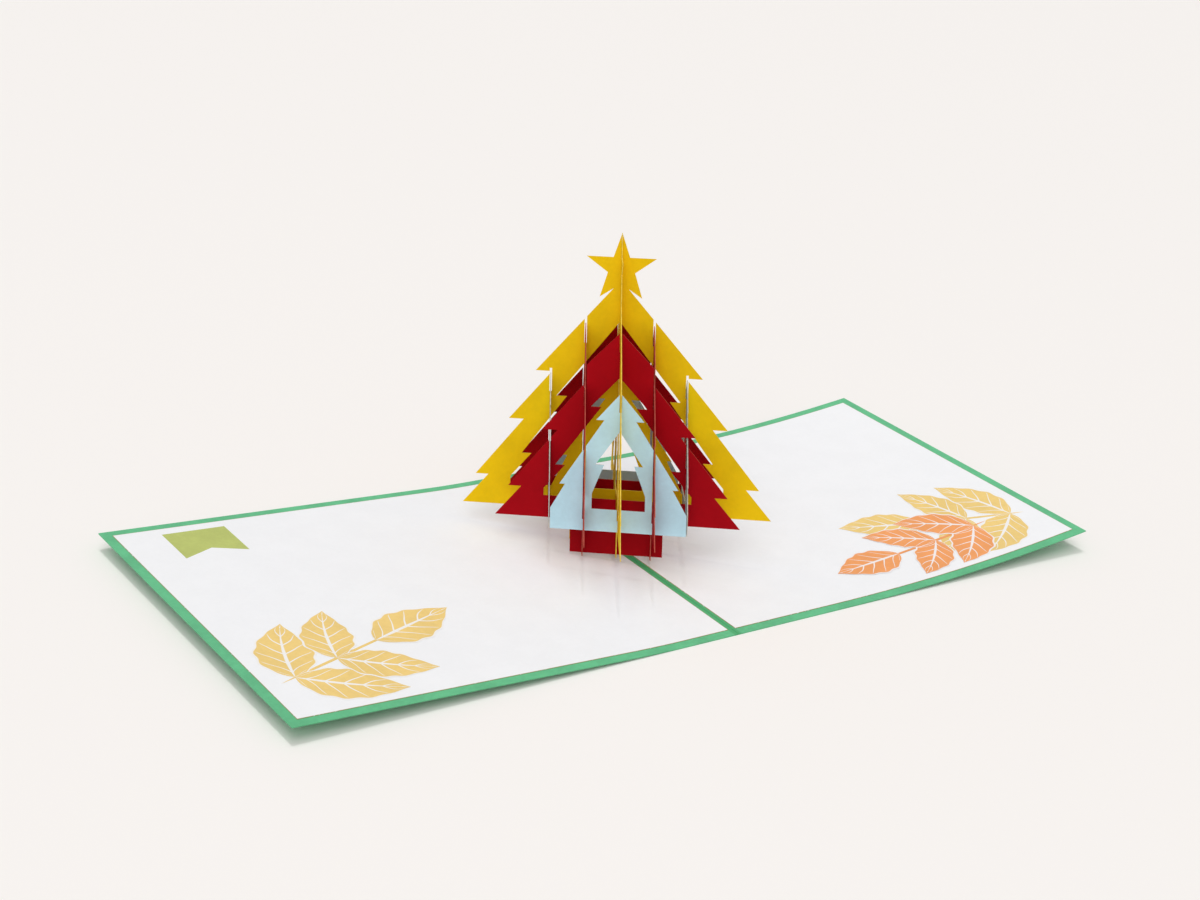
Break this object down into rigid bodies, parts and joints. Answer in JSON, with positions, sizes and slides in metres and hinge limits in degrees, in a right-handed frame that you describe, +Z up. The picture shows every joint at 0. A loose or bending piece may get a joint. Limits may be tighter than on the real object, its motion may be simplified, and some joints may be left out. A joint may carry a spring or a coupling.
{
  "type": "pop-up card",
  "caption": "Greeting card lying open, with a folded cover, pasted liners and a starred fir tree of interlocking slotted card slices standing on the spine.",
  "frame": {"origin": "underside of the cover at the middle of the spine", "axes": "+X across the right panel, +Y back along the spine, +Z up from the surface the card lies on"},
  "size_m": [0.3595, 0.15, 0.1214],
  "materials": {
    "cover_card": "matte",
    "liner_paper": "matte",
    "yellow_card": "matte",
    "red_card": "matte",
    "blue_card": "matte"
  },
  "bodies": {
    "root": {"cover": "cover_card", "liner_left": "liner_paper", "liner_right": "liner_paper", "yellow_slice_a": "yellow_card", "yellow_slice_b": "yellow_card", "red_slice_a_front": "red_card", "red_slice_a_back": "red_card", "red_slice_b_left": "red_card", "red_slice_b_right": "red_card", "blue_slice_a_front": "blue_card", "blue_slice_a_back": "blue_card", "blue_slice_b_left": "blue_card", "blue_slice_b_right": "blue_card"}
  },
  "joints": []
}
